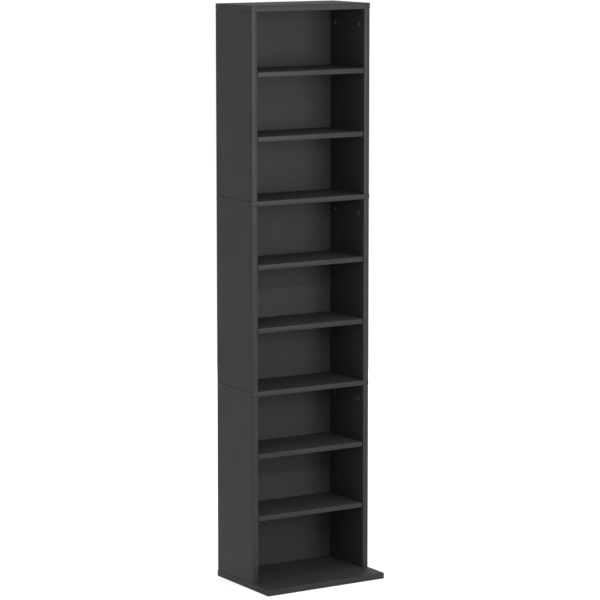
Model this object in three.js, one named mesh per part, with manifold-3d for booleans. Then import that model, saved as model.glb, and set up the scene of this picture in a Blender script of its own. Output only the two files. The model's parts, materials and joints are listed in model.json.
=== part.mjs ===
// Slim storage tower for discs: three open cases stacked on a wide base board
// Millimetres, Z up, the open front towards -Y, origin at the centre of the base's footprint

import * as THREE from 'three';
import { mergeVertices } from 'three/addons/utils/BufferGeometryUtils.js';
import Module from 'manifold-3d';

const wasm = await Module();
wasm.setup();

// Carcass boards
const caseWidth = 338;
const caseDepth = 171;
const sideThickness = 15;
const topThickness = 15;
const middleThickness = 12;
const baseThickness = 15;
const boardOverhang = 1;
const boardRearSetback = 1;
const baseProjection = 73;
const baseRearOverhang = 1;
const arris = 0.5;

// Compartments and loose shelves
const compartmentHeight = 144;
const bottomCompartmentHeight = 156;
const topCompartmentHeight = 145;
const shelfThickness = 12;
const shelfFrontRecess = 1;
const shelfEndGap = 2;
const shelfRearGap = 1;

// Back panels in the grooves of the sides
const backThickness = 3;
const backRearInset = 14;
const grooveDepth = 6;
const grooveEndGap = 0.5;
const backSeamGap = 0.25;
const backHeadGap = 0.5;

// Clearance round what seats or turns, and the overrun of every cut
const fitGap = 0.25;
const cutOverrun = 3;

// Shelf pins and their two rows of holes
const pinStepsPerShelf = 4;
const frontRowInset = 25;
const rearRowInset = 21;
const pinHeadRadius = 2.5;
const pinHeadLength = 7;
const pinNoseRound = 0.75;
const pinShankRadius = 2.3;
const pinShankLength = 8;
const pinCollarRadius = 4;
const pinCollarThickness = 1.25;
const pinHoleDepth = 9;

// Cam locks in the tops of the side panels
const camDrop = 37;
const camRadius = 6;
const camHeight = 11.5;
const camFaceRecess = 0.25;
const camLockedRadius = 4;
const camOpenRadius = 5;
const camUnlockTurn = Math.PI;
const camCrossLength = 7.5;
const camCrossWidth = 1.25;
const camCrossDepth = 2.25;
const camPointerDepth = 0.5;
const camPointerLength = 1.5;

// Bolts whose heads the cams draw in
const boltRadius = 3;
const boltNeckRadius = 1.5;
const boltHeadRadius = 2.7;
const boltTipRadius = 2;
const boltTipOffset = 0.75;
const boltTipLength = 0.75;
const boltRimLength = 0.9;
const boltHeadCone = 1;
const boltThreadLength = 11;

// Wooden dowels between the two rows
const dowelRadius = 4;
const dowelChamfer = 1;
const dowelPanelDepth = 14;
const dowelBoardDepth = 9;
const dowelEndGap = 1;

// Countersunk screws that hold the base from below
const screwShankRadius = 2;
const screwHeadRadius = 4;
const screwHeadRecess = 0.5;
const screwHeadEdge = 0.5;
const screwGrip = 25;

// Facets round each kind of round form
const camFacets = 24;
const spiralSteps = 10;
const pinFacets = 8;
const boltFacets = 10;
const dowelFacets = 10;

// Colours and finishes
const anthraciteBoard = { color: 0x454546, roughness: 0.62, metalness: 0 };
const anthraciteShelf = { color: 0x434344, roughness: 0.6, metalness: 0 };
const anthraciteBack = { color: 0x424243, roughness: 0.75, metalness: 0 };
const zincCasting = { color: 0x9a9b9d, roughness: 0.42, metalness: 0.9 };
const blackenedSteel = { color: 0x29292b, roughness: 0.5, metalness: 0.6 };

// Sizes that follow from the ones above
const innerWidth = caseWidth - 2 * sideThickness;
const innerHalf = innerWidth / 2;
const panelMiddle = innerHalf + sideThickness / 2;
const boardWidth = caseWidth + 2 * boardOverhang;
const baseDepth = baseProjection + caseDepth + baseRearOverhang;
const backFront = caseDepth - backRearInset - backThickness;
const shelfPitch = compartmentHeight + shelfThickness;
const pinPitch = shelfPitch / pinStepsPerShelf;
const frontRow = frontRowInset;
const rearRow = backFront - rearRowInset;
const dowelRow = (frontRow + rearRow) / 2;
const pinDrop = fitGap + pinHeadRadius;

const cases = [
  {
    name: 'lower',
    clearHeights: [bottomCompartmentHeight, compartmentHeight, compartmentHeight],
    boardAbove: middleThickness,
  },
  {
    name: 'middle',
    clearHeights: [compartmentHeight, compartmentHeight, compartmentHeight],
    boardAbove: middleThickness,
  },
  {
    name: 'upper',
    clearHeights: [compartmentHeight, compartmentHeight, topCompartmentHeight],
    boardAbove: topThickness,
  },
];
const hands = [
  { name: 'left', sign: -1 },
  { name: 'right', sign: 1 },
];
const rows = [
  { name: 'front', y: frontRow },
  { name: 'rear', y: rearRow },
];

// Length of a case's side panels: its compartments and the shelves between them
function panelLength({ clearHeights }) {
  const clear = clearHeights.reduce((sum, height) => sum + height);
  return clear + (clearHeights.length - 1) * shelfThickness;
}

// Closed geometry to a solid that can be cut and joined
function toSolid(geometry) {
  const bare = geometry.clone();
  bare.deleteAttribute('normal');
  bare.deleteAttribute('uv');
  const merged = mergeVertices(bare);
  const corners = merged.index.array;
  const kept = [];
  for (let i = 0; i < corners.length; i += 3) {
    const [a, b, c] = [corners[i], corners[i + 1], corners[i + 2]];
    if (a !== b && b !== c && c !== a) kept.push(a, b, c);
  }
  const mesh = new wasm.Mesh({
    numProp: 3,
    vertProperties: merged.attributes.position.array,
    triVerts: new Uint32Array(kept),
  });
  return new wasm.Manifold(mesh);
}

// Solid back to a geometry with flat shaded faces
function toGeometry(solid) {
  const mesh = solid.getMesh();
  const indexed = new THREE.BufferGeometry();
  indexed.setAttribute('position', new THREE.BufferAttribute(mesh.vertProperties, 3));
  indexed.setIndex(new THREE.BufferAttribute(mesh.triVerts, 1));
  const geometry = indexed.toNonIndexed();
  geometry.computeVertexNormals();
  return geometry;
}

// Box between two corners
function boxSolid(low, high) {
  const box = new THREE.BoxGeometry(high[0] - low[0], high[1] - low[1], high[2] - low[2]);
  box.translate((low[0] + high[0]) / 2, (low[1] + high[1]) / 2, (low[2] + high[2]) / 2);
  return toSolid(box);
}

// Turned piece along +Z from [radius, height] pairs that start and end on the axis
function turnedSolid(profile, facets, x, y, z) {
  const points = profile.map(([radius, height]) => new THREE.Vector2(radius, height));
  const turned = new THREE.LatheGeometry(points, facets);
  turned.rotateX(Math.PI / 2);
  turned.translate(x, y, z);
  return toSolid(turned);
}

// Straight round rod along +Z from one height to another
function rodSolid(radius, facets, x, y, low, high) {
  return turnedSolid([[0, low], [radius, low], [radius, high], [0, high]], facets, x, y, 0);
}

// Straight round rod along X, from one place to another
function crossRodSolid(radius, facets, from, to, y, z) {
  const rod = new THREE.CylinderGeometry(radius, radius, Math.abs(to - from), facets);
  rod.rotateZ(Math.PI / 2);
  rod.translate((from + to) / 2, y, z);
  return toSolid(rod);
}

// Flat board with a small arris on every edge, from its front edge at y to its rear edge
function boardGeometry(width, front, rear, thickness) {
  const outline = new THREE.Shape();
  outline.moveTo(-width / 2, front);
  outline.lineTo(width / 2, front);
  outline.lineTo(width / 2, rear);
  outline.lineTo(-width / 2, rear);
  outline.closePath();
  const board = new THREE.ExtrudeGeometry(outline, {
    depth: thickness - 2 * arris,
    bevelThickness: arris,
    bevelSize: arris,
    bevelOffset: -arris,
    bevelSegments: 1,
  });
  board.translate(0, 0, arris);
  return board;
}

// Head, neck, shank and thread of a cam bolt, its cam's axis at the given height
function boltSolid(x, y, camHeightZ, threadEnd) {
  const rim = boltTipOffset + boltTipLength;
  const cone = rim + boltRimLength;
  const neck = cone + boltHeadCone;
  const shank = camRadius + 2 * fitGap;
  const end = threadEnd - camHeightZ;
  const profile = [
    [0, boltTipOffset],
    [boltTipRadius, boltTipOffset],
    [boltHeadRadius, rim],
    [boltHeadRadius, cone],
    [boltNeckRadius, neck],
    [boltNeckRadius, shank],
    [boltRadius, shank],
    [boltRadius, end],
    [0, end],
  ];
  return turnedSolid(profile, boltFacets, x, y, camHeightZ);
}

// Dowel with chamfered tips between two heights
function dowelSolid(x, y, low, high) {
  const profile = [
    [0, low],
    [dowelRadius - dowelChamfer, low],
    [dowelRadius, low + dowelChamfer],
    [dowelRadius, high - dowelChamfer],
    [dowelRadius - dowelChamfer, high],
    [0, high],
  ];
  return turnedSolid(profile, dowelFacets, x, y, 0);
}

// Bore for a dowel, a little deeper than the dowel reaches
function dowelBore(x, y, low, high) {
  return rodSolid(dowelRadius + fitGap, dowelFacets, x, y, low, high);
}

// Base screw from its countersunk head below up into the side panel, spread by a gap for its hole
function screwProfile(gap, low, high) {
  const headTop = low + screwHeadEdge + screwHeadRadius - screwShankRadius;
  return [
    [0, low],
    [screwHeadRadius + gap, low],
    [screwHeadRadius + gap, low + screwHeadEdge],
    [screwShankRadius + gap, headTop],
    [screwShankRadius + gap, high],
    [0, high],
  ];
}

// Side panel outline: rounded front arrises and the groove for the back panels
function sideOutline(sign) {
  const inner = sign * innerHalf;
  const outer = sign * (innerHalf + sideThickness);
  const grooveFloor = sign * (innerHalf + grooveDepth);
  const grooveFront = backFront - fitGap;
  const grooveRear = backFront + backThickness + fitGap;
  const outline = new THREE.Shape();
  outline.moveTo(inner, arris);
  outline.lineTo(inner + sign * arris, 0);
  outline.lineTo(outer - sign * arris, 0);
  outline.lineTo(outer, arris);
  outline.lineTo(outer, caseDepth);
  outline.lineTo(inner, caseDepth);
  outline.lineTo(inner, grooveRear);
  outline.lineTo(grooveFloor, grooveRear);
  outline.lineTo(grooveFloor, grooveFront);
  outline.lineTo(inner, grooveFront);
  outline.closePath();
  return outline;
}

// Heights of the shelf pin holes above the panel's lower end, first and last under a shelf
function pinHeights({ clearHeights }) {
  const first = clearHeights[0] - pinDrop;
  return Array.from({ length: pinStepsPerShelf + 1 }, (_, step) => first + step * pinPitch);
}

// Side panel with its bores, and the bolts or screws and the dowel that it carries
function sidePanel(storey, index, sign) {
  const length = panelLength(storey);
  const middle = sign * panelMiddle;
  const face = sign * innerHalf;
  const camFloor = face + sign * (camFaceRecess + camHeight + fitGap);
  const pinFloor = face + sign * pinHoleDepth;
  const mouth = face - sign * cutOverrun;
  const extruded = new THREE.ExtrudeGeometry(sideOutline(sign), { depth: length, bevelEnabled: false });
  let panel = toSolid(extruded);
  for (const { y } of rows) {
    const camHeightZ = length - camDrop;
    panel = panel.subtract(crossRodSolid(camRadius + fitGap, camFacets, mouth, camFloor, y, camHeightZ));
    panel = panel.subtract(
      rodSolid(boltRadius + fitGap, boltFacets, middle, y, camHeightZ, length + cutOverrun),
    );
    for (const z of pinHeights(storey)) {
      panel = panel.subtract(crossRodSolid(pinShankRadius + fitGap, pinFacets, mouth, pinFloor, y, z));
    }
  }
  const topReach = index < cases.length - 1 ? storey.boardAbove + dowelPanelDepth : dowelBoardDepth;
  panel = panel.add(dowelSolid(middle, dowelRow, length - dowelPanelDepth, length + topReach));
  if (index === 0) {
    for (const { y } of rows) {
      const screw = screwProfile(0, screwHeadRecess - baseThickness, screwGrip);
      panel = panel.add(turnedSolid(screw, boltFacets, middle, y, 0));
    }
    return panel.add(dowelSolid(middle, dowelRow, -dowelBoardDepth, dowelPanelDepth));
  }
  for (const { y } of rows) {
    panel = panel.add(boltSolid(middle, y, -middleThickness - camDrop, boltThreadLength));
  }
  const hole = dowelBore(middle, dowelRow, -cutOverrun, dowelPanelDepth + dowelEndGap);
  return panel.subtract(hole);
}

// Top board with its four bolts and the blind bores for the dowels
function topBoard() {
  let board = toSolid(boardGeometry(boardWidth, 0, caseDepth - boardRearSetback, topThickness));
  for (const { sign } of hands) {
    const middle = sign * panelMiddle;
    for (const { y } of rows) board = board.add(boltSolid(middle, y, -camDrop, boltThreadLength));
    const hole = dowelBore(middle, dowelRow, -cutOverrun, dowelBoardDepth + dowelEndGap);
    board = board.subtract(hole);
  }
  return board;
}

// Middle board, bored right through for the bolts and dowels that join the cases
function middleBoard() {
  let board = toSolid(boardGeometry(boardWidth, 0, caseDepth - boardRearSetback, middleThickness));
  for (const { sign } of hands) {
    const middle = sign * panelMiddle;
    const above = middleThickness + cutOverrun;
    for (const { y } of rows) {
      board = board.subtract(rodSolid(boltRadius + fitGap, boltFacets, middle, y, -cutOverrun, above));
    }
    board = board.subtract(dowelBore(middle, dowelRow, -cutOverrun, above));
  }
  return board;
}

// Base board with countersunk holes below and blind bores above
function baseBoard() {
  const rear = caseDepth + baseRearOverhang;
  let board = toSolid(boardGeometry(boardWidth, -baseProjection, rear, baseThickness));
  for (const { sign } of hands) {
    const middle = sign * panelMiddle;
    const above = baseThickness + cutOverrun;
    for (const { y } of rows) {
      const hole = screwProfile(fitGap, screwHeadRecess, above);
      board = board.subtract(turnedSolid(hole, boltFacets, middle, y, 0));
      const mouth = rodSolid(screwHeadRadius + fitGap, boltFacets, middle, y, -cutOverrun, screwHeadRecess);
      board = board.subtract(mouth);
    }
    const floor = baseThickness - dowelBoardDepth - dowelEndGap;
    board = board.subtract(dowelBore(middle, dowelRow, floor, above));
  }
  return board;
}

// Outline of the pocket in a cam: a spiral wall that closes in on the bolt head as the cam locks
function camPocketOutline() {
  const flank = boltHeadRadius + fitGap;
  const start = -Math.asin(flank / camLockedRadius);
  const end = camUnlockTurn + Math.asin(flank / camOpenRadius);
  const outline = new THREE.Shape();
  for (let step = 0; step <= spiralSteps; step += 1) {
    const angle = start + (end - start) * (step / spiralSteps);
    const turnShare = THREE.MathUtils.clamp(angle / camUnlockTurn, 0, 1);
    const radius = THREE.MathUtils.lerp(camLockedRadius, camOpenRadius, turnShare);
    const x = radius * Math.sin(angle);
    const y = radius * Math.cos(angle);
    if (step === 0) outline.moveTo(x, y);
    else outline.lineTo(x, y);
  }
  outline.closePath();
  return outline;
}

// Cam about +Z with its slotted face up and the bolt arriving along +Y, shown locked
function camLock() {
  const face = sideThickness / 2 - camFaceRecess;
  const flank = boltHeadRadius + fitGap;
  const slot = boltNeckRadius + fitGap;
  const past = camRadius + cutOverrun;
  let cam = rodSolid(camRadius, camFacets, 0, 0, face - camHeight, face);
  const pocket = new THREE.ExtrudeGeometry(camPocketOutline(), { depth: 2 * flank, bevelEnabled: false });
  pocket.translate(0, 0, -flank);
  cam = cam.subtract(toSolid(pocket));
  cam = cam.subtract(boxSolid([-slot, -past, -slot], [past, past, slot]));
  cam = cam.subtract(boxSolid([-flank, -past, -flank], [flank, -boltTipOffset, flank]));
  const crossFloor = face - camCrossDepth;
  const reach = camCrossLength / 2;
  const half = camCrossWidth / 2;
  cam = cam.subtract(boxSolid([-half, -reach, crossFloor], [half, reach, face + cutOverrun]));
  cam = cam.subtract(boxSolid([-reach, -half, crossFloor], [reach, half, face + cutOverrun]));
  const pointer = new THREE.Shape();
  pointer.moveTo(0, -camRadius + camPointerDepth);
  pointer.lineTo(camPointerLength / 2, -camRadius + camPointerDepth + camPointerLength);
  pointer.lineTo(-camPointerLength / 2, -camRadius + camPointerDepth + camPointerLength);
  pointer.closePath();
  const arrow = new THREE.ExtrudeGeometry(pointer, { depth: past, bevelEnabled: false });
  arrow.translate(0, 0, face - camPointerDepth);
  return cam.subtract(toSolid(arrow));
}

// Shelf pin along +Z: shank in the hole, collar on the panel, head under the shelf
function shelfPin() {
  const profile = [
    [0, -pinShankLength],
    [pinShankRadius, -pinShankLength],
    [pinShankRadius, 0],
    [pinCollarRadius, 0],
    [pinCollarRadius, pinCollarThickness],
    [pinHeadRadius, pinCollarThickness],
    [pinHeadRadius, pinCollarThickness + pinHeadLength - pinNoseRound],
    [pinHeadRadius - pinNoseRound, pinCollarThickness + pinHeadLength],
    [0, pinCollarThickness + pinHeadLength],
  ];
  return turnedSolid(profile, pinFacets, 0, 0, 0);
}

// Named mesh of one piece in its own finish
function piece(name, geometry, finish) {
  const mesh = new THREE.Mesh(geometry, new THREE.MeshStandardMaterial(finish));
  mesh.name = name;
  return mesh;
}

// Turn that sets a fitting's own +Z out of a side panel's inner face and its +Y upwards
function outOfPanel(sign) {
  const basis = new THREE.Matrix4();
  const across = new THREE.Vector3(0, -sign, 0);
  const up = new THREE.Vector3(0, 0, 1);
  const out = new THREE.Vector3(-sign, 0, 0);
  basis.makeBasis(across, up, out);
  return basis;
}

// One case: its side panels with their cams, its back panels, loose shelves and shelf pins
function caseGroup(storey, index) {
  const group = new THREE.Group();
  const length = panelLength(storey);

  for (const hand of hands) {
    const panel = toGeometry(sidePanel(storey, index, hand.sign));
    group.add(piece(`side_panel_${storey.name}_${hand.name}`, panel, anthraciteBoard));
    for (const row of rows) {
      const cam = piece(`cam_lock_${storey.name}_${hand.name}_${row.name}`, camGeometry, zincCasting);
      cam.setRotationFromMatrix(outOfPanel(hand.sign));
      cam.position.set(hand.sign * panelMiddle, row.y, length - camDrop);
      group.add(cam);
    }
  }

  const backWidth = innerWidth + 2 * (grooveDepth - grooveEndGap);
  const backHeight = (length - backSeamGap - backHeadGap) / 2;
  ['bottom', 'top'].forEach((place, order) => {
    const sheet = new THREE.BoxGeometry(backWidth, backThickness, backHeight);
    const back = piece(`back_panel_${storey.name}_${place}`, sheet, anthraciteBack);
    const low = order * (backHeight + backSeamGap);
    back.position.set(0, backFront + backThickness / 2, low + backHeight / 2);
    group.add(back);
  });

  for (let tier = 0; tier < storey.clearHeights.length - 1; tier += 1) {
    const number = index * (storey.clearHeights.length - 1) + tier + 1;
    const underside = storey.clearHeights[0] + tier * shelfPitch;
    const shelf = piece(`shelf_${number}`, shelfGeometry, anthraciteShelf);
    shelf.position.set(0, 0, underside);
    group.add(shelf);
    for (const hand of hands) {
      for (const row of rows) {
        const pin = piece(`shelf_pin_${number}_${hand.name}_${row.name}`, pinGeometry, blackenedSteel);
        pin.setRotationFromMatrix(outOfPanel(hand.sign));
        pin.position.set(hand.sign * innerHalf, row.y, underside - pinDrop);
        group.add(pin);
      }
    }
  }
  return group;
}

const shelfWidth = innerWidth - 2 * shelfEndGap;
const shelfRear = backFront - shelfRearGap;
const shelfGeometry = boardGeometry(shelfWidth, shelfFrontRecess, shelfRear, shelfThickness);
const camGeometry = toGeometry(camLock());
const pinGeometry = toGeometry(shelfPin());

// Tower from the floor up, its cases' fronts set back behind the base's front edge
const tower = new THREE.Group();
tower.position.y = baseProjection - baseDepth / 2;
tower.add(piece('base_board', toGeometry(baseBoard()), anthraciteBoard));
let height = baseThickness;
cases.forEach((storey, index) => {
  const group = caseGroup(storey, index);
  group.position.z = height;
  tower.add(group);
  height += panelLength(storey);
  const isTop = index === cases.length - 1;
  const name = isTop ? 'top_board' : `middle_board_${storey.name}`;
  const board = piece(name, toGeometry(isTop ? topBoard() : middleBoard()), anthraciteBoard);
  board.position.z = height;
  tower.add(board);
  height += storey.boardAbove;
});

const group = new THREE.Group();
group.add(tower);

export default group;
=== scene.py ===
# Dressed model of a slim storage tower for discs: three open cases stacked on a deep base board
# Shapes are worked out in millimetres and set down in metres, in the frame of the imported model

import json
import math

import bmesh
import bpy
import numpy as np
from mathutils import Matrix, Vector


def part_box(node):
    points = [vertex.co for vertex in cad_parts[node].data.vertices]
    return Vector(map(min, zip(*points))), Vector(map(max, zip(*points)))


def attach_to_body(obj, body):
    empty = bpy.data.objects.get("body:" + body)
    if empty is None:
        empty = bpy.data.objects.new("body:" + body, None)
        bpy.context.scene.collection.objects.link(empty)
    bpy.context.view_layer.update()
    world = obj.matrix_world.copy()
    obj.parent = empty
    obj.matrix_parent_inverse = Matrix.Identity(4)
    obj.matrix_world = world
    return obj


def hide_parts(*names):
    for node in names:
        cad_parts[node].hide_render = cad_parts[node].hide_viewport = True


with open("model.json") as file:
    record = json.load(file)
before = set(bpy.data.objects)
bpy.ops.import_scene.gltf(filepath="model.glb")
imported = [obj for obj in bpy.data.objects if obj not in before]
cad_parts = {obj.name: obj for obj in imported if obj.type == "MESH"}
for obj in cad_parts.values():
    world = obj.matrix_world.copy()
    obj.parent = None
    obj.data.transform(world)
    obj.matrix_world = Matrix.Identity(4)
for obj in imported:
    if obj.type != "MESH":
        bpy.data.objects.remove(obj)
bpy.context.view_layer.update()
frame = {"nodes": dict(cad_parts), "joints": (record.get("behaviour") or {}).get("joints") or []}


# Base board
# A 15 mm chipboard sheet with anthracite melamine on both faces. Its front edge and ends carry a band in the
# same colour, its rear edge stays raw, and it is bored for the screws and dowels that hold the lower sides.

MM = 0.001
WELD = 0.000001
ARRIS = 0.5
ARRIS_STEPS = 3
FACETS = 32
FIT = 0.25
MOUTH = 0.2
SHARP = math.radians(32)
FACE, RAW, BORE, LONG_BAND, END_BAND = range(5)


def corners(node):
    """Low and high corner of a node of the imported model, in millimetres."""
    low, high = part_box(node)
    return np.round(np.array(low) / MM, 3), np.round(np.array(high) / MM, 3)


def pivot(joint_name):
    """Point on a joint's axis, in millimetres."""
    found = next(joint for joint in frame["joints"] if joint["name"] == joint_name)
    return np.round(np.array(found["pos_m"]) / MM, 3)


def net(points, wrap=False):
    """Quads over a grid of points. A cell joins a point, the next in its row, and the two above them in the
    next row; wrap joins the end of each row to its start."""
    rows, columns = points.shape[:2]
    index = np.arange(rows * columns).reshape(rows, columns)
    if wrap:
        index = np.concatenate([index, index[:, :1]], axis=1)
    quads = np.stack([index[:-1, :-1], index[:-1, 1:], index[1:, 1:], index[1:, :-1]], axis=-1)
    return points.reshape(-1, 3), quads.reshape(-1, 4).tolist()


def round_angles(columns=FACETS):
    """Even angles once round, starting at the lower left corner of a cell."""
    return 2 * np.pi * np.arange(columns) / columns - 3 * np.pi / 4


def swept_round(reach, angle, height):
    """Points at a reach from the third axis, at each angle and height."""
    x, y, z = np.broadcast_arrays(reach * np.cos(angle), reach * np.sin(angle), height)
    return np.stack([x, y, z], axis=-1)


def turned(profile, columns=FACETS):
    """Surface of revolution: each (radius, height) pair of the profile swings once round the third axis."""
    radius, height = np.array(profile, float).T[..., None]
    return swept_round(radius, round_angles(columns), height)


def drilled_plate(us, vs, mouths):
    """Flat plate over the grid lines us by vs. A plain cell is one quad. A cell listed in mouths, as (column,
    row): radius, is four faces, each from two corners of the cell to a quarter of a circle at its centre."""
    grid = np.stack(np.meshgrid(us, vs), axis=-1)
    index = np.arange(len(us) * len(vs)).reshape(len(vs), len(us))
    points, faces, count = [grid.reshape(-1, 2)], [], index.size
    for row, column in np.ndindex(len(vs) - 1, len(us) - 1):
        square = index[row:row + 2, column:column + 2]
        cell = [*square[0], *square[1, ::-1]]
        if (column, row) not in mouths:
            faces.append(cell)
            continue
        centre = grid[row:row + 2, column:column + 2].mean(axis=(0, 1))
        ring = turned([(mouths[column, row], 0)])[0, :, :2]
        for quarter in range(4):
            arc = (np.arange(FACETS // 4 + 1) + quarter * FACETS // 4) % FACETS
            faces.append([cell[quarter], cell[(quarter + 1) % 4], *(count + arc[::-1])])
        points.append(ring + centre)
        count += FACETS
    return np.concatenate(points), faces


def outline_of(us, vs):
    """Once round the plate's outline: its grid points with the angle that each looks out at. The points of a
    side look straight out, and a corner is repeated while its angle swings by a quarter turn."""
    sides = [
        np.stack(np.broadcast_arrays(us, vs[0]), axis=-1),
        np.stack(np.broadcast_arrays(us[-1], vs), axis=-1),
        np.stack(np.broadcast_arrays(us[::-1], vs[-1]), axis=-1),
        np.stack(np.broadcast_arrays(us[0], vs[::-1]), axis=-1),
    ]
    swing = np.arange(1, ARRIS_STEPS) * np.pi / 2 / ARRIS_STEPS
    points, angles = [], []
    for number, side in enumerate(sides):
        straight = (number - 1) * np.pi / 2
        points += [side, np.repeat(side[-1:], len(swing), axis=0)]
        angles += [np.full(len(side), straight), straight + swing]
    return np.concatenate(points), np.concatenate(angles)


def slab(us, vs, thickness, bores, sides, over=FACE, under=FACE, arris=ARRIS):
    """Closed flat slab as patches of (points, faces, finish, smooth). Two drilled plates lie a thickness
    apart. The rim is their outline moved out by a reach that grows along a quarter circle, stays, and shrinks
    again while the height climbs. A bore is the turned profile given for its cell, from the lower face up."""
    patches = []
    for height, finish, end in ((0, under, 0), (thickness, over, -1)):
        mouths = {cell: profile[end][0] for cell, profile in bores.items() if profile[end][0] > 0}
        flat, faces = drilled_plate(us, vs, mouths)
        patches.append((np.insert(flat, 2, height, axis=1), faces, finish, False))
    outline, angle = outline_of(us, vs)
    swing = np.diff(angle, append=angle[:1] + 2 * np.pi)
    bend = np.linspace(0, np.pi / 2, ARRIS_STEPS + 1)
    climb = arris * (1 - np.cos(bend))
    reach = np.concatenate([arris * np.sin(bend), arris * np.sin(bend[::-1])])[:, None]
    height = np.concatenate([climb, thickness - climb[::-1]])[:, None]
    x = outline[:, 0] + reach * np.cos(angle)
    y = outline[:, 1] + reach * np.sin(angle)
    points, faces = net(np.stack([x, y, np.broadcast_to(height, x.shape)], axis=-1), wrap=True)
    side = np.round((angle + swing / 2) / (np.pi / 2)).astype(int) + 1
    finish = np.broadcast_to(np.array(sides)[side % 4], (len(reach) - 1, len(angle))).copy()
    rounded = np.arange(len(reach) - 1) != ARRIS_STEPS
    finish[rounded] = np.where(finish[rounded] == RAW, over, finish[rounded])
    smooth = rounded[:, None] | (swing > 0)
    patches.append((points, faces, finish.ravel(), smooth.ravel()))
    for (column, row), profile in bores.items():
        points, faces = net(turned(profile), wrap=True)
        centre = (us[column] + us[column + 1]) / 2, (vs[row] + vs[row + 1]) / 2, 0
        patches.append((points + centre, faces, BORE, True))
    return patches


def stand(patches, origin, u, v, w):
    """The same patches with their three coordinates laid along u, v and w from an origin."""
    turn = np.array([u, v, w], float)
    return [(points @ turn + origin, faces, finish, smooth) for points, faces, finish, smooth in patches]


def piece(name, patches, finishes, body, slot, *nodes):
    """One closed mesh in metres from its patches, riding on a body and standing for nodes. Points that meet
    are merged, faces are turned outwards, and smooth faces break where they meet at a sharp angle."""
    starts = np.cumsum([0] + [len(points) for points, *_ in patches])
    points = np.concatenate([points for points, *_ in patches]) * MM
    faces = [[int(corner) + int(start) for corner in face]
             for (_, some, *_), start in zip(patches, starts) for face in some]
    finish = np.concatenate([np.broadcast_to(one, len(some)) for _, some, one, _ in patches])
    smooth = np.concatenate([np.broadcast_to(one, len(some)) for _, some, _, one in patches])
    mesh = bpy.data.meshes.new(name)
    mesh.from_pydata(points.tolist(), [], faces)
    mesh.polygons.foreach_set("material_index", finish.astype(int))
    mesh.polygons.foreach_set("use_smooth", smooth.astype(bool))
    merged = bmesh.new()
    merged.from_mesh(mesh)
    bmesh.ops.remove_doubles(merged, verts=merged.verts, dist=WELD)
    bmesh.ops.recalc_face_normals(merged, faces=merged.faces)
    merged.to_mesh(mesh)
    merged.free()
    mesh.set_sharp_from_angle(angle=SHARP)
    for material in finishes:
        mesh.materials.append(material)
    made = bpy.data.objects.new(name, mesh)
    bpy.context.scene.collection.objects.link(made)
    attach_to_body(made, body)
    if nodes:
        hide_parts(*nodes)


def shade(code):
    """Linear colour of a six-figure screen colour code, by the curve of ordinary screens: straight in the
    darkest tones and a power above them."""
    channel = np.array([int(code[start:start + 2], 16) for start in (0, 2, 4)]) / 255
    linear = np.where(channel <= 0.04045, channel / 12.92, ((channel + 0.055) / 1.055) ** 2.4)
    return (*linear.tolist(), 1.0)


def attach(tree, kind, inputs=None, **settings):
    """New shader node. Each input takes a plain value or another node's socket."""
    made = tree.nodes.new("ShaderNode" + kind)
    for key, value in settings.items():
        setattr(made, key, value)
    for key, value in (inputs or {}).items():
        if isinstance(value, bpy.types.NodeSocket):
            tree.links.new(value, made.inputs[key])
        else:
            made.inputs[key].default_value = value
    return made


def start_finish(name, metallic=0.0, gloss=0.5):
    """Material with its node tree, its shader, and the place on the piece that its patterns read."""
    material = bpy.data.materials.new(name)
    material.use_nodes = True
    tree = material.node_tree
    shader = tree.nodes["Principled BSDF"]
    shader.inputs["Metallic"].default_value = metallic
    shader.inputs["Specular IOR Level"].default_value = gloss
    return material, tree, shader, attach(tree, "TexCoord").outputs["Object"]


def drawn_out(axis, along=1, across=1):
    """Stretch of a pattern, with one figure along an axis and another across it."""
    return tuple(along if this == axis else across for this in "xyz")


def noise(tree, place, scale, detail=2, stretch=(1, 1, 1)):
    """Cloudy value from 0 to 1, its clouds 1 / scale metres across and drawn out where stretch is small."""
    laid = attach(tree, "Mapping", {"Vector": place, "Scale": stretch}).outputs["Vector"]
    return attach(tree, "TexNoise", {"Vector": laid, "Scale": scale, "Detail": detail}).outputs["Fac"]


def ramp(tree, amount, *stops):
    """Colour that runs through stops of (amount, colour code)."""
    made = attach(tree, "ValToRGB", {"Fac": amount})
    elements = made.color_ramp.elements
    for element, (at, code) in zip((elements[0], elements[1]), (stops[0], stops[-1])):
        element.position, element.color = at, shade(code)
    for at, code in stops[1:-1]:
        elements.new(at).color = shade(code)
    return made.outputs["Color"]


def tinted(tree, colour, tint):
    """One colour multiplied by another. The Mix node's sockets for colours have numbers of their own."""
    sockets = {0: 1, 6: colour, 7: tint}
    return attach(tree, "Mix", sockets, data_type="RGBA", blend_type="MULTIPLY").outputs[2]


def spread(tree, amount, low, high):
    """Value from 0 to 1 carried over to the range from low to high."""
    return attach(tree, "MapRange", {"Value": amount, "To Min": low, "To Max": high}).outputs["Result"]


def finish_surface(tree, shader, colour, roughness, relief, depth, strength=1.0):
    """Colour, roughness and relief joined to the shader; the relief is depth metres high."""
    tree.links.new(colour, shader.inputs["Base Color"])
    tree.links.new(roughness, shader.inputs["Roughness"])
    bump = attach(tree, "Bump", {"Height": relief, "Distance": depth, "Strength": strength})
    tree.links.new(bump.outputs["Normal"], shader.inputs["Normal"])


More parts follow.
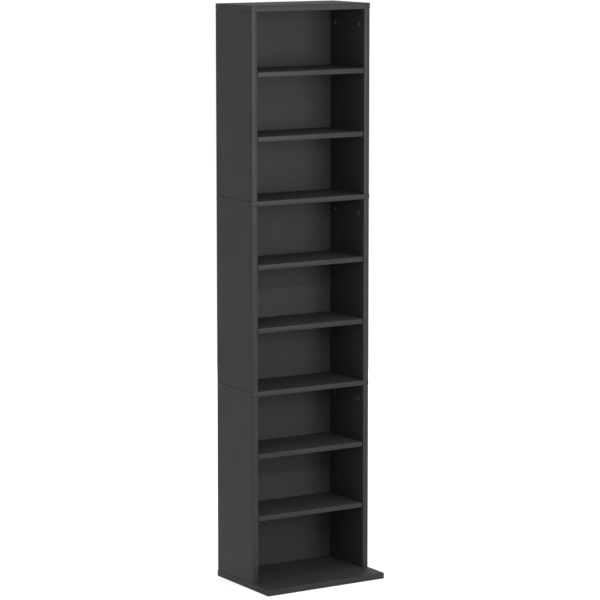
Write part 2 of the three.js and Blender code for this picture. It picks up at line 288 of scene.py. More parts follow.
def melamine(name, dark, light, gloss, smoothest, roughest):
    """Pressed resin paper: one tone with broad faint clouds and fine grit, and a pearl relief that scatters
    the light. Its gloss is low and wanders a little over the board."""
    material, tree, shader, place = start_finish(name, gloss=gloss)
    clouds = noise(tree, place, scale=9, detail=3)
    grit = noise(tree, place, scale=1500, detail=1)
    colour = ramp(tree, clouds, (0.35, dark), (0.65, light))
    colour = tinted(tree, colour, ramp(tree, grit, (0.3, "f2f2f2"), (0.5, "fbfbfb"), (0.7, "ffffff")))
    pearl = attach(tree, "TexVoronoi", {"Vector": place, "Scale": 1100}, feature="SMOOTH_F1")
    haze = noise(tree, place, scale=22, detail=4)
    roughness = spread(tree, haze, smoothest, roughest)
    finish_surface(tree, shader, colour, roughness, pearl.outputs["Distance"], depth=0.00002, strength=0.5)
    return material


def edge_band(name, axis, dark, light, smoothest, roughest):
    """Plastic band glued on and scraped flush: a tone close to the melamine's, with faint streaks along the
    edge and a smoother skin."""
    material, tree, shader, place = start_finish(name, gloss=BOARD_GLOSS)
    streaks = noise(tree, place, scale=1800, detail=3, stretch=drawn_out(axis, along=0.02))
    clouds = noise(tree, place, scale=14)
    colour = ramp(tree, clouds, (0.35, dark), (0.65, light))
    colour = tinted(tree, colour, ramp(tree, streaks, (0.3, "f0f0f0"), (0.7, "ffffff")))
    roughness = spread(tree, streaks, smoothest, roughest)
    finish_surface(tree, shader, colour, roughness, streaks, depth=0.00001, strength=0.4)
    return material


def chipboard(name, *tones):
    """Sawn or drilled core: flat chips, a centimetre long and thin, in tones from dark to pale, with dark
    gaps between them and a coarse broken relief."""
    material, tree, shader, place = start_finish(name, gloss=0.3)
    lying = drawn_out("z", across=0.45)
    laid = attach(tree, "Mapping", {"Vector": place, "Scale": lying}).outputs["Vector"]
    chips = attach(tree, "TexVoronoi", {"Vector": laid, "Scale": 900})
    tone = attach(tree, "SeparateColor", {"Color": chips.outputs["Color"]}).outputs["Red"]
    colour = ramp(tree, tone, *zip((0.0, 0.35, 0.75, 1.0), tones))
    edges = ramp(tree, chips.outputs["Distance"], (0.25, "ffffff"), (0.8, "bfb19c"))
    fibres = noise(tree, place, scale=2600, detail=3)
    colour = tinted(tree, tinted(tree, colour, edges), ramp(tree, fibres, (0.3, "d8d0c4"), (0.7, "ffffff")))
    roughness = spread(tree, fibres, low=0.8, high=0.95)
    finish_surface(tree, shader, colour, roughness, chips.outputs["Distance"], depth=0.0002)
    return material


BOARD_GLOSS = 0.2
LYING_GLOSS = 0.12
# The melamine of the lying boards is a shade darker than the side panels': painted shade on boards that lie
# flat.
shaded_board_melamine = melamine("lying_melamine", "404040", "454545", LYING_GLOSS, smoothest=0.7, roughest=0.84)
# The front bands are a shade darker than the melamine: painted shade that tones down the front lamps' light
# on them.
band_along_x = edge_band("edge_band_along_x", "x", "393939", "3e3e3e", smoothest=0.34, roughest=0.46)
band_along_y = edge_band("edge_band_along_y", "y", "414141", "464646", smoothest=0.49, roughest=0.65)
raw_chipboard = chipboard("raw_chipboard", "94795a", "ab8f6b", "bda27c", "cbb28d")
# The chipboard of the bores is far darker than the raw chipboard: painted shade in the holes and on the sawn
# panel ends.
shade_darkened_chipboard = chipboard("shade_darkened_chipboard", "262320", "302c28", "3a352f", "453f37")
board_finishes = [shaded_board_melamine, raw_chipboard, shade_darkened_chipboard, band_along_x, band_along_y]
banded_sides = (LONG_BAND, END_BAND, RAW, END_BAND)

base_low, base_high = corners("base_board")
side_low, side_high = corners("side_panel_lower_right")
FRONT_ROW = pivot("cam_lower_right_front_turn")[1]
REAR_ROW = pivot("cam_lower_right_rear_turn")[1]
DOWEL_ROW = (FRONT_ROW + REAR_ROW) / 2
ROWS = (FRONT_ROW, DOWEL_ROW, REAR_ROW)
PANEL_MIDDLE = (side_low[0] + side_high[0]) / 2
CELL = base_high[0] - ARRIS - PANEL_MIDDLE
ROW_LINES = [row + step for row in ROWS for step in (-CELL, CELL)]
DOWEL_RADIUS = 4
DOWEL_IN_BOARD = 9
DOWEL_END_GAP = 1
SCREW_RADIUS = 2
SCREW_HEAD_RADIUS = 4
SCREW_HEAD_RECESS = 0.5
SCREW_HEAD_EDGE = 0.5


def blind_bore(radius, depth, point=0.0):
    """Profile of a drilled hole from its eased mouth down to its floor, or to the cone of a drill point."""
    return [(radius + MOUTH, 0), (radius, MOUTH), (radius, depth), (0, depth + point)]


def from_above(profile, thickness):
    """A bore's profile turned over, so that it goes in through the upper face."""
    return [(radius, thickness - depth) for radius, depth in profile[::-1]]


def lying_board(node, thickness, bores):
    """Patches of a board that lies flat, its upper face at the top of its node. The grid lines pass beside
    the bores, which stand in both end columns, at the rows of the front fixings, dowels and rear fixings."""
    low, high = corners(node)
    us = np.array([low[0] + ARRIS, CELL - PANEL_MIDDLE, PANEL_MIDDLE - CELL, high[0] - ARRIS])
    vs = np.array([low[1] + ARRIS, *ROW_LINES, high[1] - ARRIS])
    both = {(column, 2 * row + 1): profile for column in (0, 2) for row, profile in enumerate(bores)}
    board = slab(us, vs, thickness, both, banded_sides)
    return stand(board, (0, 0, high[2] - thickness), (1, 0, 0), (0, 1, 0), (0, 0, 1))


base_thickness = base_high[2] - base_low[2]
dowel_bore = blind_bore(DOWEL_RADIUS + FIT, DOWEL_IN_BOARD + DOWEL_END_GAP)
countersink = [
    (SCREW_HEAD_RADIUS + FIT, 0),
    (SCREW_HEAD_RADIUS + FIT, SCREW_HEAD_RECESS + SCREW_HEAD_EDGE),
    (SCREW_RADIUS + FIT, SCREW_HEAD_RECESS + SCREW_HEAD_EDGE + SCREW_HEAD_RADIUS - SCREW_RADIUS),
    (SCREW_RADIUS + FIT, base_thickness),
]
base_bores = (countersink, from_above(dowel_bore, base_thickness), countersink)
base_patches = lying_board("base_board", base_thickness, base_bores)
piece("finished_base_board", base_patches, board_finishes, "carcass", "board", "base_board")


# Side panels
# Six 15 mm chipboard panels, anthracite melamine on both faces and a band on the front edge only. Each is
# grooved for the back panels and drilled for cam locks, shelf pins, bolts, screws and dowels. Their sawn ends
# carry the dark chipboard of the bores, painted shade which, with a small real gap, leaves a fine dark line
# at the boards.

CASES = ("lower", "middle", "upper")
HANDS = {"left": -1, "right": 1}
HOLES_IN_ROW = 5
HOLE_RADIUS = 2.5
HOLE_DEPTH = 9
HOLE_POINT = 0.7
CAM_RADIUS = 6
CAM_BORE_DEPTH = 12
BOLT_RADIUS = 3
BOLT_THREAD_LENGTH = 11
DOWEL_IN_PANEL = 14
SCREW_GRIP = 25
GROOVE_END_GAP = 0.5
LOWER_END_GAP = 0.3
UPPER_END_GAP = 0.45
BELOW = {"lower": "base_board", "middle": "middle_board_lower", "upper": "middle_board_middle"}
ABOVE = {"lower": "middle_board_lower", "middle": "middle_board_middle", "upper": "top_board"}
TOP_THICKNESS = 15
BORED_COLUMNS = (1, 5)
FRONT_POINTS = 2 * ARRIS_STEPS + 3
REAR_POINTS = 6

side_melamine = melamine("side_melamine", "424242", "474747", BOARD_GLOSS, smoothest=0.5, roughest=0.64)
# The front band of a side panel is a shade darker than its melamine: painted shade against the front lamps'
# light.
band_along_z = edge_band("edge_band_along_z", "z", "393939", "3e3e3e", smoothest=0.34, roughest=0.46)
side_finishes = [side_melamine, raw_chipboard, shade_darkened_chipboard, band_along_z]
case_front = side_low[1]
side_depth = side_high[1] - side_low[1]
side_thickness = side_high[0] - side_low[0]
inner_half = side_low[0]
back_low, back_high = corners("back_panel_lower_bottom")
groove_front = back_low[1] - FIT - case_front
groove_rear = back_high[1] + FIT - case_front
groove_floor = back_high[0] + GROOVE_END_GAP - inner_half
beside_rows = [line - case_front for line in ROW_LINES]


def panel_outline():
    """Cross-section of a side panel as (depth into the panel, distance from its front edge), from the inner
    face's front end, round the two front arrises, back along the outer face, and round the groove. It stops
    where the drilled inner face starts. The FRONT_POINTS end on the outer face at the first row of bores, and
    the REAR_POINTS start at its rear corner. Each stretch after a point has a finish of its own."""
    bend = np.linspace(0, np.pi / 2, ARRIS_STEPS + 1)
    inner_arc = np.stack([ARRIS - ARRIS * np.cos(bend), ARRIS - ARRIS * np.sin(bend)], axis=-1)
    outer_arc = np.array([side_thickness, 0]) + inner_arc[::-1] * (-1, 1)
    outer_face = np.array([(side_thickness, at) for at in (*beside_rows, side_depth)])
    rear = np.array([(0, side_depth), (0, groove_rear), (groove_floor, groove_rear),
                     (groove_floor, groove_front), (0, groove_front)])
    points = np.concatenate([inner_arc, outer_arc, outer_face, rear])
    finish = np.full(len(points) - 1, FACE)
    finish[:2 * ARRIS_STEPS + 1] = LONG_BAND
    rear_edge = len(points) - REAR_POINTS
    finish[rear_edge] = RAW
    finish[rear_edge + 2:] = RAW
    smooth = np.full(len(points) - 1, False)
    smooth[:ARRIS_STEPS] = True
    smooth[ARRIS_STEPS + 1:2 * ARRIS_STEPS + 1] = True
    return points, finish, smooth


def panel_end(level, inward, profiles):
    """Patches of one end of a side panel: a plain face before the bores and one behind them, and between them
    a row of cells of which every second is bored."""
    front_face = np.concatenate([[(0, beside_rows[0])], outline[:FRONT_POINTS]])
    rear_face = np.concatenate([[(0, beside_rows[-1]), (side_thickness, beside_rows[-1])],
                                outline[-REAR_POINTS:]])
    patches = [(np.insert(face, 2, level, axis=1), [list(range(len(face)))], BORE, False)
               for face in (front_face, rear_face)]
    mouths = {(0, 2 * number): profile[0][0] for number, profile in enumerate(profiles)}
    flat, faces = drilled_plate([0, side_thickness], beside_rows, mouths)
    patches.append((np.insert(flat, 2, level, axis=1), faces, BORE, False))
    for number, profile in enumerate(profiles):
        points, faces = net(turned(profile) * (1, 1, inward), wrap=True)
        centre = side_thickness / 2, beside_rows[2 * number] + CELL, level
        patches.append((points + centre, faces, BORE, True))
    return patches


def side_panel(case, hand):
    """Patches of one side panel: its drilled inner face, whose BORED_COLUMNS stand at the front and rear
    rows of holes, the outline carried up the panel, and its two ends."""
    index, sign = CASES.index(case), HANDS[hand]
    bottom, top = corners(BELOW[case])[1][2], corners(ABOVE[case])[0][2]
    if case == "upper":
        top = corners("top_board")[1][2] - TOP_THICKNESS
    bottom, top = bottom + LOWER_END_GAP, top - UPPER_END_GAP
    length = top - bottom
    low_pin, high_pin = (corners(f"shelf_pin_{2 * index + tier}_{hand}_front") for tier in (1, 2))
    first, last = (np.mean(pin, axis=0)[2] for pin in (low_pin, high_pin))
    pins = np.linspace(first, last, HOLES_IN_ROW) - bottom
    cam_height = pivot(f"cam_{case}_{hand}_front_turn")[2] - bottom
    drilled = [*pins, cam_height]
    us = np.array([ARRIS, *beside_rows, groove_front])
    vs = np.array([0, *(height + step for height in drilled for step in (-CELL, CELL)), length])
    pin_bore = blind_bore(HOLE_RADIUS, HOLE_DEPTH, HOLE_POINT)
    cam_bore = blind_bore(CAM_RADIUS + FIT, CAM_BORE_DEPTH)
    bores = {(column, 2 * number + 1): cam_bore if number == HOLES_IN_ROW else pin_bore
             for column in BORED_COLUMNS for number in range(len(drilled))}
    flat, faces = drilled_plate(us, vs, {cell: profile[0][0] for cell, profile in bores.items()})
    patches = [(np.insert(flat, 0, 0, axis=1), faces, FACE, False)]
    for (column, row), profile in bores.items():
        points, faces = net(turned(profile)[..., [2, 0, 1]], wrap=True)
        centre = 0, (us[column] + us[column + 1]) / 2, (vs[row] + vs[row + 1]) / 2
        patches.append((points + centre, faces, BORE, True))
    swept = np.stack([np.insert(outline, 2, height, axis=1) for height in vs])
    points, faces = net(swept)
    rows = len(vs) - 1
    patches.append((points, faces, np.tile(outline_finish, rows), np.tile(outline_smooth, rows)))

    bolt_bore = blind_bore(BOLT_RADIUS + FIT, length - cam_height - CAM_RADIUS - 2 * FIT)
    panel_dowel_bore = blind_bore(DOWEL_RADIUS + FIT, DOWEL_IN_PANEL + DOWEL_END_GAP)
    thread_bore = blind_bore(BOLT_RADIUS + MOUTH / 2, BOLT_THREAD_LENGTH + MOUTH)
    screw_bore = blind_bore(SCREW_RADIUS + MOUTH / 2, SCREW_GRIP + MOUTH)
    lower_row = screw_bore if case == "lower" else thread_bore
    patches += panel_end(0, 1, (lower_row, panel_dowel_bore, lower_row))
    patches += panel_end(length, -1, (bolt_bore, panel_dowel_bore, bolt_bore))
    return stand(patches, (sign * inner_half, case_front, bottom), (sign, 0, 0), (0, 1, 0), (0, 0, 1))


outline, outline_finish, outline_smooth = panel_outline()
for case in CASES:
    for hand in HANDS:
        node = f"side_panel_{case}_{hand}"
        piece(f"finished_{node}", side_panel(case, hand), side_finishes, "carcass", "board", node)


# Back panels
# Six 3 mm hardboard sheets, two in each case, slid into the grooves from above. Anthracite foil faces the
# front, the edges are stained dark and the brown board is bare behind. The two sheets meet in a fine seam.

BACK_ARRIS = 0.1
SEAM_REACH = 0.1
FOIL, HARDBOARD, STAINED = range(3)


def back_foil(name, dark, light):
    """Printed paper foil on hardboard: a flat tone with very faint upright streaks and the board's own
    slight waves under it."""
    material, tree, shader, place = start_finish(name, gloss=BOARD_GLOSS)
    streaks = noise(tree, place, scale=160, detail=4, stretch=(1, 1, 0.06))
    colour = ramp(tree, streaks, (0.3, dark), (0.7, light))
    grit = noise(tree, place, scale=1700, detail=1)
    colour = tinted(tree, colour, ramp(tree, grit, (0.3, "f4f4f4"), (0.7, "ffffff")))
    waves = noise(tree, place, scale=45, detail=5)
    roughness = spread(tree, waves, low=0.58, high=0.7)
    finish_surface(tree, shader, colour, roughness, waves, depth=0.0002, strength=0.25)
    return material


def hardboard(name, dark, middle, light):
    """Pressed wood fibre: short dark and pale fibres in every direction."""
    material, tree, shader, place = start_finish(name, gloss=0.3)
    fibres = noise(tree, place, scale=700, detail=6, stretch=(1, 1, 0.5))
    colour = ramp(tree, fibres, (0.25, dark), (0.5, middle), (0.75, light))
    clouds = noise(tree, place, scale=12, detail=3)
    colour = tinted(tree, colour, ramp(tree, clouds, (0.3, "e6e0d8"), (0.7, "ffffff")))
    roughness = spread(tree, fibres, low=0.7, high=0.85)
    finish_surface(tree, shader, colour, roughness, fibres, depth=0.0001, strength=0.6)
    return material


brown_hardboards = {
    "bottom": hardboard("brown_hardboard_bottom", "5f452c", "7f5f3e", "9c7a53"),
    "top": hardboard("brown_hardboard_top", "583f28", "775839", "94734d"),
}
stained_hardboard = hardboard("stained_hardboard", "2c2b2a", "363534", "403f3e")
back_foils = {
    "bottom": back_foil("back_foil_bottom", "474747", "4b4b4b"),
    "top": back_foil("back_foil_top", "454545", "494949"),
}
for case in CASES:
    for place, foil in back_foils.items():
        node = f"back_panel_{case}_{place}"
        low, high = corners(node)
        if place == "bottom":
            high[2] += SEAM_REACH
        else:
            low[2] -= SEAM_REACH
        us = np.linspace(low[0] + BACK_ARRIS, high[0] - BACK_ARRIS, 2)
        vs = np.linspace(low[2] + BACK_ARRIS, high[2] - BACK_ARRIS, 2)
        edges = (STAINED,) * 4
        sheet = slab(us, vs, high[1] - low[1], {}, edges, over=HARDBOARD, under=FOIL, arris=BACK_ARRIS)
        sheet = stand(sheet, (0, low[1], 0), (1, 0, 0), (0, 0, 1), (0, 1, 0))
        sheet_finishes = [foil, brown_hardboards[place], stained_hardboard]
        piece(f"finished_{node}", sheet, sheet_finishes, "carcass", "back", node)


# Middle boards
# Two 12 mm melamine-faced boards as wide as the tower, each lying between two cases. Bolts and dowels from
# the case above pass right through them, and front edge and ends are banded.

def through_bore(radius, thickness):
    """Profile of a hole that is eased at both its mouths."""
    return [(radius + MOUTH, 0), (radius, MOUTH), (radius, thickness - MOUTH), (radius + MOUTH, thickness)]


for case in ("lower", "middle"):
    node = f"middle_board_{case}"
    low, high = corners(node)
    thickness = high[2] - low[2]
    bolt_hole = through_bore(BOLT_RADIUS + FIT, thickness)
    dowel_hole = through_bore(DOWEL_RADIUS + FIT, thickness)
    patches = lying_board(node, thickness, (bolt_hole, dowel_hole, bolt_hole))
    piece(f"finished_{node}", patches, board_finishes, "carcass", "board", node)


# Top board
# A 15 mm melamine-faced board that closes the tower. Its four bolts are screwed into it from below and two
# dowels sit in it, so its upper face is unbroken.

top_bolt_bore = blind_bore(BOLT_RADIUS + MOUTH / 2, BOLT_THREAD_LENGTH + MOUTH)
top_patches = lying_board("top_board", TOP_THICKNESS, (top_bolt_bore, dowel_bore, top_bolt_bore))
piece("finished_top_board", top_patches, board_finishes, "carcass", "board", "top_board")


# Loose shelves
# Six 12 mm melamine-faced boards, banded on the front edge and both ends and sawn behind. Each lies on four
# pins with a small gap at its ends and behind it.

SHELVES = 6

shelf_melamine = melamine("shelf_melamine", "414141", "464646", BOARD_GLOSS, smoothest=0.52, roughest=0.66)
shelf_finishes = [shelf_melamine, raw_chipboard, shade_darkened_chipboard, band_along_x, band_along_y]
for number in range(1, SHELVES + 1):
    node = f"shelf_{number}"
    low, high = corners(node)
    us = np.linspace(low[0] + ARRIS, high[0] - ARRIS, 2)
    vs = np.linspace(low[1] + ARRIS, high[1] - ARRIS, 2)
    board = slab(us, vs, high[2] - low[2], {}, banded_sides)
    board = stand(board, (0, 0, low[2]), (1, 0, 0), (0, 1, 0), (0, 0, 1))
    piece(f"finished_{node}", board, shelf_finishes, f"loose_{node}", "shelf", node)


# Shelf pins
# Steel pins turned from rod and blackened: a shank in the hole, a collar against the panel and a rounded
# head that the shelf lies on.

PIN_HEAD_RADIUS = 2.5
PIN_HEAD_LENGTH = 7
PIN_SHANK_RADIUS = 2.3
PIN_SHANK_LENGTH = 8
PIN_COLLAR_RADIUS = 4
PIN_COLLAR_THICKNESS = 1.25
PIN_NOSE = 0.75
PIN_NOSE_POINTS = 5
PIN_EASE = 0.2
ONLY_FINISH = 0


def tool_rings(tree, place, axis):
    """Fine rings that a lathe tool leaves round the axis of a piece."""
    return noise(tree, place, scale=5200, stretch=drawn_out(axis, across=0.05))


def blackened(name):
    """Oil-blackened steel turned along x: near black, with a brown-grey bloom and the rings of the tool."""
    material, tree, shader, place = start_finish(name, metallic=0.6)
    rings = tool_rings(tree, place, "x")
    bloom = noise(tree, place, scale=380, detail=5)
    colour = ramp(tree, bloom, (0.3, "1f1f21"), (0.6, "29292b"), (0.8, "333130"))
    colour = tinted(tree, colour, ramp(tree, rings, (0.3, "dcdcdc"), (0.7, "ffffff")))
    roughness = spread(tree, bloom, low=0.42, high=0.6)
    finish_surface(tree, shader, colour, roughness, rings, depth=0.00001, strength=0.5)
    return material


blackened_steel = blackened("blackened_pin")
nose = np.linspace(0, np.pi / 2, PIN_NOSE_POINTS)
pin_end = PIN_COLLAR_THICKNESS + PIN_HEAD_LENGTH
pin_profile = [
    (0, -PIN_SHANK_LENGTH),
    (PIN_SHANK_RADIUS - PIN_EASE, -PIN_SHANK_LENGTH),
    (PIN_SHANK_RADIUS, PIN_EASE - PIN_SHANK_LENGTH),
    (PIN_SHANK_RADIUS, 0),
    (PIN_COLLAR_RADIUS - PIN_EASE, 0),
    (PIN_COLLAR_RADIUS, PIN_EASE),
    (PIN_COLLAR_RADIUS, PIN_COLLAR_THICKNESS - PIN_EASE),
    (PIN_COLLAR_RADIUS - PIN_EASE, PIN_COLLAR_THICKNESS),
    (PIN_HEAD_RADIUS, PIN_COLLAR_THICKNESS),
    *zip(PIN_HEAD_RADIUS - PIN_NOSE + PIN_NOSE * np.cos(nose), pin_end - PIN_NOSE + PIN_NOSE * np.sin(nose)),
    (0, pin_end),
]
for number in range(1, SHELVES + 1):
    for hand, sign in HANDS.items():
        for row in ("front", "rear"):
            node = f"shelf_pin_{number}_{hand}_{row}"
            low, high = corners(node)
            centre = sign * inner_half, (low[1] + high[1]) / 2, (low[2] + high[2]) / 2
            patches = [(*net(turned(pin_profile), wrap=True), ONLY_FINISH, True)]
            patches = stand(patches, centre, (0, 1, 0), (0, 0, 1), (-sign, 0, 0))
            piece(f"turned_{node}", patches, [blackened_steel], "carcass", "pin", node)


# Cam locks
# Twelve zinc die castings, each a drum with a spiral pocket for its bolt's head and a crossed slot in its
# face. They lie in blind bores and are turned with a screwdriver; the casting's edges are softly rounded.

CAM_EDGE = 0.14
CAM_EDGE_STEPS = 2
FLAT_ANGLE = 0.000001


def zinc_casting(name):
    """Tumbled zinc casting: dull pale grey metal, mottled by the mould's release, with a fine orange-peel
    skin."""
    material, tree, shader, place = start_finish(name, metallic=0.8)
    mottle = noise(tree, place, scale=350, detail=5)
    colour = ramp(tree, mottle, (0.3, "8d8e92"), (0.55, "a0a1a4"), (0.75, "b0b1b4"))
    skin = noise(tree, place, scale=2400, detail=3)
    roughness = spread(tree, mottle, low=0.36, high=0.52)
    finish_surface(tree, shader, colour, roughness, skin, depth=0.00005, strength=0.5)
    return material


cast_zinc = zinc_casting("zinc_casting")
for case in CASES:
    for hand in HANDS:
        for row in ("front", "rear"):
            node = f"cam_lock_{case}_{hand}_{row}"
            mesh = frame["nodes"][node].data.copy()
            mesh.name = f"cast_{node}"
            merged = bmesh.new()
            merged.from_mesh(mesh)
            bmesh.ops.remove_doubles(merged, verts=merged.verts, dist=WELD)
            flat = [edge for edge in merged.edges if edge.calc_face_angle(0) < FLAT_ANGLE]
            bmesh.ops.dissolve_edges(merged, edges=flat, use_verts=False)
            for face in merged.faces:
                face.smooth = True
            merged.to_mesh(mesh)
            merged.free()
            mesh.set_sharp_from_angle(angle=SHARP)
            mesh.materials.clear()
            mesh.materials.append(cast_zinc)
            cam = bpy.data.objects.new(f"cast_{node}", mesh)
            bpy.context.scene.collection.objects.link(cam)
            rounding = cam.modifiers.new("rounded_edges", "BEVEL")
            rounding.width = CAM_EDGE * MM
            rounding.segments = CAM_EDGE_STEPS
            rounding.limit_method = "ANGLE"
            rounding.angle_limit = SHARP
            rounding.harden_normals = True
            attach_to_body(cam, f"cam_{case}_{hand}_{row}")
            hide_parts(node)


# Cam bolts
# Twelve nickel-plated steel bolts: four screwed into the top board and eight into the lower ends of the
# middle and upper side panels. Each ends in a coned head that its cam draws in.

BOLT_NECK_RADIUS = 1.5
BOLT_HEAD_RADIUS = 2.7
BOLT_TIP_RADIUS = 2
BOLT_TIP_OFFSET = 0.75
BOLT_TIP_LENGTH = 0.75
BOLT_RIM_LENGTH = 0.9
BOLT_HEAD_CONE = 1
BOLT_COLUMNS = 24
THREAD_CORE_SHARE = 0.74
THREAD_PITCH = 1.4
ROWS_PER_PITCH = 6


def threaded_rod(profile, low, high, radius, columns=BOLT_COLUMNS):
    """Turned profile followed by a thread. Along the thread the radius is a core plus a ridge whose height
    is a triangle wave of the height in pitches less the share of a turn; it fades out at both ends."""
    steps = int((high - low) / THREAD_PITCH * ROWS_PER_PITCH)
    height = np.linspace(low, high, steps)[:, None]
    angle = round_angles(columns)
    wave = np.abs((height / THREAD_PITCH - angle / (2 * np.pi)) % 1 * 2 - 1)
    fade = np.clip(np.minimum(height - low, high - height) / THREAD_PITCH, 0, 1)
    core = THREAD_CORE_SHARE * radius
    reach = core + (radius - core) * wave * fade
    tip = swept_round(np.zeros((1, columns)), angle, high)
    return np.concatenate([turned(profile, columns), swept_round(reach, angle, height), tip])


def nickel(name):
    """Nickel plate over steel turned along z: bright, with faint stains and the rings of the tool."""
    material, tree, shader, place = start_finish(name, metallic=1.0)
    rings = tool_rings(tree, place, "z")
    stains = noise(tree, place, scale=420, detail=4)
    colour = ramp(tree, stains, (0.3, "a9a79f"), (0.7, "c4c2bb"))
    colour = tinted(tree, colour, ramp(tree, rings, (0.3, "e4e4e4"), (0.7, "ffffff")))
    roughness = spread(tree, stains, low=0.24, high=0.38)
    finish_surface(tree, shader, colour, roughness, rings, depth=0.00001, strength=0.5)
    return material


nickel_plate = nickel("nickel_plated_steel")
rim = BOLT_TIP_OFFSET + BOLT_TIP_LENGTH
cone = rim + BOLT_RIM_LENGTH
shank = CAM_RADIUS + 2 * FIT


def bolt(name, x, y, cam_height, thread_start):
    """One bolt from its head in the cam up to the end of its thread."""
    start = thread_start - cam_height
    end = start + BOLT_THREAD_LENGTH
    profile = [
        (0, BOLT_TIP_OFFSET),
        (BOLT_TIP_RADIUS, BOLT_TIP_OFFSET),
        (BOLT_HEAD_RADIUS, rim),
        (BOLT_HEAD_RADIUS, cone),
        (BOLT_NECK_RADIUS, cone + BOLT_HEAD_CONE),
        (BOLT_NECK_RADIUS, shank),
        (BOLT_RADIUS, shank),
        (BOLT_RADIUS, start),
        (THREAD_CORE_SHARE * BOLT_RADIUS, start),
    ]
    points, faces = net(threaded_rod(profile, start, end, BOLT_RADIUS), wrap=True)
    placed = [(points + (x, y, cam_height), faces, ONLY_FINISH, True)]
    piece(name, placed, [nickel_plate], "carcass", "steel")


for case in CASES:
    for hand in HANDS:
        for row in ("front", "rear"):
            x, y, height = pivot(f"cam_{case}_{hand}_{row}_turn")
            above = corners(ABOVE[case])[1][2]
            thread_start = above - TOP_THICKNESS if case == "upper" else above
            bolt(f"cam_bolt_{case}_{hand}_{row}", x, y, height, thread_start)


# Dowels
# Eight fluted beech dowels, 8 mm thick, glued into the side panels and pushed into the boards. The flutes
# let glue and air out, and both tips are chamfered.

DOWEL_CHAMFER = 1
FLUTES = 16
FLUTE_DEPTH = 0.35
COLUMNS_PER_FLUTE = 4


def beech(name):
    """Pale straight-grained wood: pinkish tan with long fine streaks and short darker flecks."""
    material, tree, shader, place = start_finish(name, gloss=0.3)
    grain = noise(tree, place, scale=1400, detail=5, stretch=(1, 1, 0.04))
    flecks = noise(tree, place, scale=2600, detail=1, stretch=(1, 1, 0.25))
    colour = ramp(tree, grain, (0.25, "b08a60"), (0.5, "c9a67b"), (0.75, "dcbf97"))
    colour = tinted(tree, colour, ramp(tree, flecks, (0.25, "c8b49c"), (0.4, "ffffff")))
    roughness = spread(tree, grain, low=0.6, high=0.75)
    finish_surface(tree, shader, colour, roughness, grain, depth=0.00008, strength=0.6)
    return material


dowel_beech = beech("beech_dowel")


def dowel(name, x, y, low, high):
    """One dowel between two heights. The radius follows the chamfers along it and dips by a cosine of the
    angle once for each flute."""
    radius, height = np.array([
        (0, low),
        (DOWEL_RADIUS - DOWEL_CHAMFER, low),
        (DOWEL_RADIUS, low + DOWEL_CHAMFER),
        (DOWEL_RADIUS, high - DOWEL_CHAMFER),
        (DOWEL_RADIUS - DOWEL_CHAMFER, high),
        (0, high),
    ]).T[..., None]
    angle = round_angles(FLUTES * COLUMNS_PER_FLUTE)
    dip = FLUTE_DEPTH * (1 - np.cos(FLUTES * angle)) / 2 * (radius / DOWEL_RADIUS)
    points, faces = net(swept_round(radius - dip, angle, height), wrap=True)
    piece(name, [(points + (x, y, 0), faces, ONLY_FINISH, True)], [dowel_beech], "carcass", "board")


for hand, sign in HANDS.items():
    x = sign * PANEL_MIDDLE
    dowel(f"dowel_base_{hand}", x, DOWEL_ROW, base_high[2] - DOWEL_IN_BOARD, base_high[2] + DOWEL_IN_PANEL)
    for case in ("lower", "middle"):
        low, high = corners(ABOVE[case])
        dowel(f"dowel_{case}_{hand}", x, DOWEL_ROW, low[2] - DOWEL_IN_PANEL, high[2] + DOWEL_IN_PANEL)
    under_top = corners("top_board")[1][2] - TOP_THICKNESS
    dowel(f"dowel_top_{hand}", x, DOWEL_ROW, under_top - DOWEL_IN_PANEL, under_top + DOWEL_IN_BOARD)


# Base screws
# Four countersunk chipboard screws, nickel-plated, driven up through the base board into the lower sides.
# Their heads have a crossed recess and lie half a millimetre inside the board's lower face.

HEAD_ROWS = 20
HEAD_COLUMNS = 48
RECESS_REACH = 2.4
RECESS_HALF_WIDTH = 0.55
RECESS_SLOPE = 0.35
RECESS_DEPTH = 1.6


def screw(name, x, y):
    """One screw. The head's face is a disc of rings whose points rise into the head by a recess depth where
    both the smaller of |x| and |y| is within half the slot's width and the larger within its reach."""
    head_radius = np.linspace(0, SCREW_HEAD_RADIUS, HEAD_ROWS)[:, None]
    angle = round_angles(HEAD_COLUMNS)
    across, along = head_radius * np.cos(angle), head_radius * np.sin(angle)
    narrow = np.minimum(np.abs(across), np.abs(along))
    wide = np.maximum(np.abs(across), np.abs(along))
    inside = np.clip((RECESS_HALF_WIDTH - narrow) / RECESS_SLOPE + 1, 0, 1)
    inside *= np.clip((RECESS_REACH - wide) / RECESS_SLOPE, 0, 1)
    face = np.stack([across, along, SCREW_HEAD_RECESS + RECESS_DEPTH * inside], axis=-1)
    head_top = SCREW_HEAD_RECESS + SCREW_HEAD_EDGE + SCREW_HEAD_RADIUS - SCREW_RADIUS
    body = [(SCREW_HEAD_RADIUS, SCREW_HEAD_RECESS + SCREW_HEAD_EDGE), (SCREW_RADIUS, head_top),
            (THREAD_CORE_SHARE * SCREW_RADIUS, head_top)]
    rod = threaded_rod(body, head_top, base_thickness + SCREW_GRIP, SCREW_RADIUS, HEAD_COLUMNS)
    points, faces = net(np.concatenate([face, rod]), wrap=True)
    piece(name, [(points + (x, y, 0), faces, ONLY_FINISH, True)], [nickel_plate], "carcass", "steel")


for hand, sign in HANDS.items():
    screw(f"base_screw_{hand}_front", sign * PANEL_MIDDLE, FRONT_ROW)
    screw(f"base_screw_{hand}_rear", sign * PANEL_MIDDLE, REAR_ROW)


# Floor, light and camera
# A plain pale studio floor under a white surround. A near lamp at the height of the top and a far one light
# the open front almost level, a third lights the back, and soft light comes from all around.

FLOOR_REACH = 60
FLOOR_RINGS = 24
FLOOR_COLUMNS = 48
AMBIENT = 0.36
FLOOR_GLOW = 0.74
WHITE = (1, 1, 1, 1)


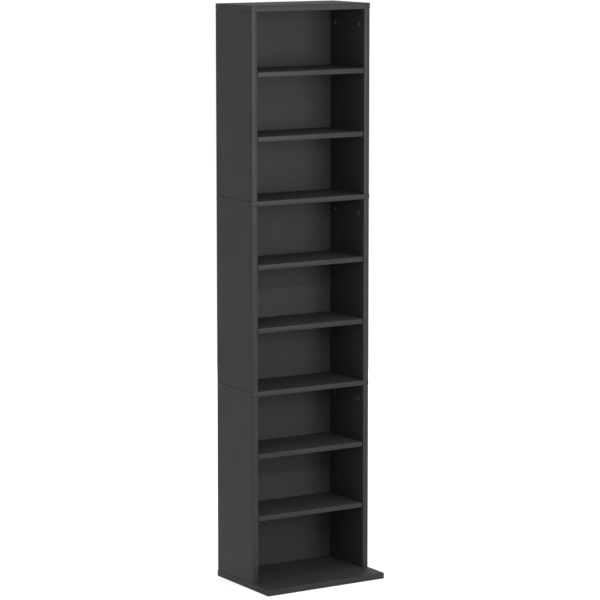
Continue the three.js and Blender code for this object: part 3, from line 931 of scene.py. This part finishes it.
def seen_directly(tree):
    """One for camera, mirror and see-through rays, and nought for light that spreads."""
    path = attach(tree, "LightPath")
    total = path.outputs["Is Camera Ray"]
    for ray in ("Is Glossy Ray", "Is Transmission Ray"):
        total = attach(tree, "Math", {0: total, 1: path.outputs[ray]}, operation="MAXIMUM").outputs[0]
    return total


def pale_floor():
    """Matt pale floor. Seen directly it also glows, so that open floor reaches white and shadow stays."""
    material = bpy.data.materials.new("pale_floor")
    material.use_nodes = True
    tree = material.node_tree
    tree.nodes.clear()
    place = attach(tree, "TexCoord").outputs["Object"]
    clouds = noise(tree, place, scale=2, detail=4)
    matt = attach(tree, "BsdfDiffuse", {"Color": ramp(tree, clouds, (0.3, "e4e4e3"), (0.7, "e8e8e7"))})
    strength = attach(tree, "Math", {0: seen_directly(tree), 1: FLOOR_GLOW}, operation="MULTIPLY").outputs[0]
    glow = attach(tree, "Emission", {"Color": WHITE, "Strength": strength})
    both = attach(tree, "AddShader", {0: matt.outputs[0], 1: glow.outputs[0]})
    attach(tree, "OutputMaterial", {"Surface": both.outputs[0]})
    return material


floor_rings = np.linspace(0, 1, FLOOR_RINGS) ** 2 * FLOOR_REACH
floor_disc = turned([(ring, 0) for ring in floor_rings], FLOOR_COLUMNS)[:, ::-1]
floor_points, floor_faces = net(floor_disc, wrap=True)
floor_mesh = bpy.data.meshes.new("floor")
floor_mesh.from_pydata(floor_points.tolist(), [], floor_faces)
floor_mesh.materials.append(pale_floor())
floor = bpy.data.objects.new("floor", floor_mesh)
bpy.context.scene.collection.objects.link(floor)

world = bpy.data.worlds.new("white_surround")
world.use_nodes = True
world_tree = world.node_tree
world_tree.nodes.clear()
seen = seen_directly(world_tree)
glow = spread(world_tree, seen, low=AMBIENT, high=1)
surround = attach(world_tree, "Background", {"Color": WHITE, "Strength": glow})
attach(world_tree, "OutputWorld", {"Surface": surround.outputs[0]})
bpy.context.scene.world = world


def lamp(name, azimuth, elevation, distance, aim_height, size, power):
    """Square soft lamp that looks at the tower's axis at some height. Azimuth 0 is in front and 90 to the
    right."""
    light = bpy.data.lights.new(name, "AREA")
    light.shape = "SQUARE"
    light.size = size
    light.energy = power
    turn, lift = math.radians(azimuth), math.radians(elevation)
    away = np.array([math.sin(turn) * math.cos(lift), -math.cos(turn) * math.cos(lift), math.sin(lift)])
    made = bpy.data.objects.new(name, light)
    made.location = away * distance + (0, 0, aim_height)
    made.rotation_euler = (math.pi / 2 - lift, 0, turn)
    made.visible_camera = False
    bpy.context.scene.collection.objects.link(made)


lamp("near_lamp", azimuth=0, elevation=0, distance=1.8, aim_height=1.45, size=0.8, power=9.6)
lamp("far_lamp", azimuth=20, elevation=5, distance=3, aim_height=0.75, size=1, power=19.8)
lamp("rear_lamp", azimuth=140, elevation=5, distance=3, aim_height=0.75, size=1.5, power=30)

CAMERA_PLACE = (-3.5722, -5.7110, 1.7089)
CAMERA_YAW = 32.012
CAMERA_PITCH = 8.482
CAMERA_LENS = 165.03
CAMERA_SENSOR_WIDTH = 36
lens = bpy.data.cameras.new("camera")
lens.lens = CAMERA_LENS
lens.sensor_width = CAMERA_SENSOR_WIDTH
lens.clip_end = 2 * FLOOR_REACH
camera = bpy.data.objects.new("camera", lens)
camera.location = CAMERA_PLACE
camera.rotation_euler = (math.radians(90 - CAMERA_PITCH), 0, -math.radians(CAMERA_YAW))
bpy.context.scene.collection.objects.link(camera)
bpy.context.scene.camera = camera

bpy.context.scene.view_settings.view_transform = "Standard"
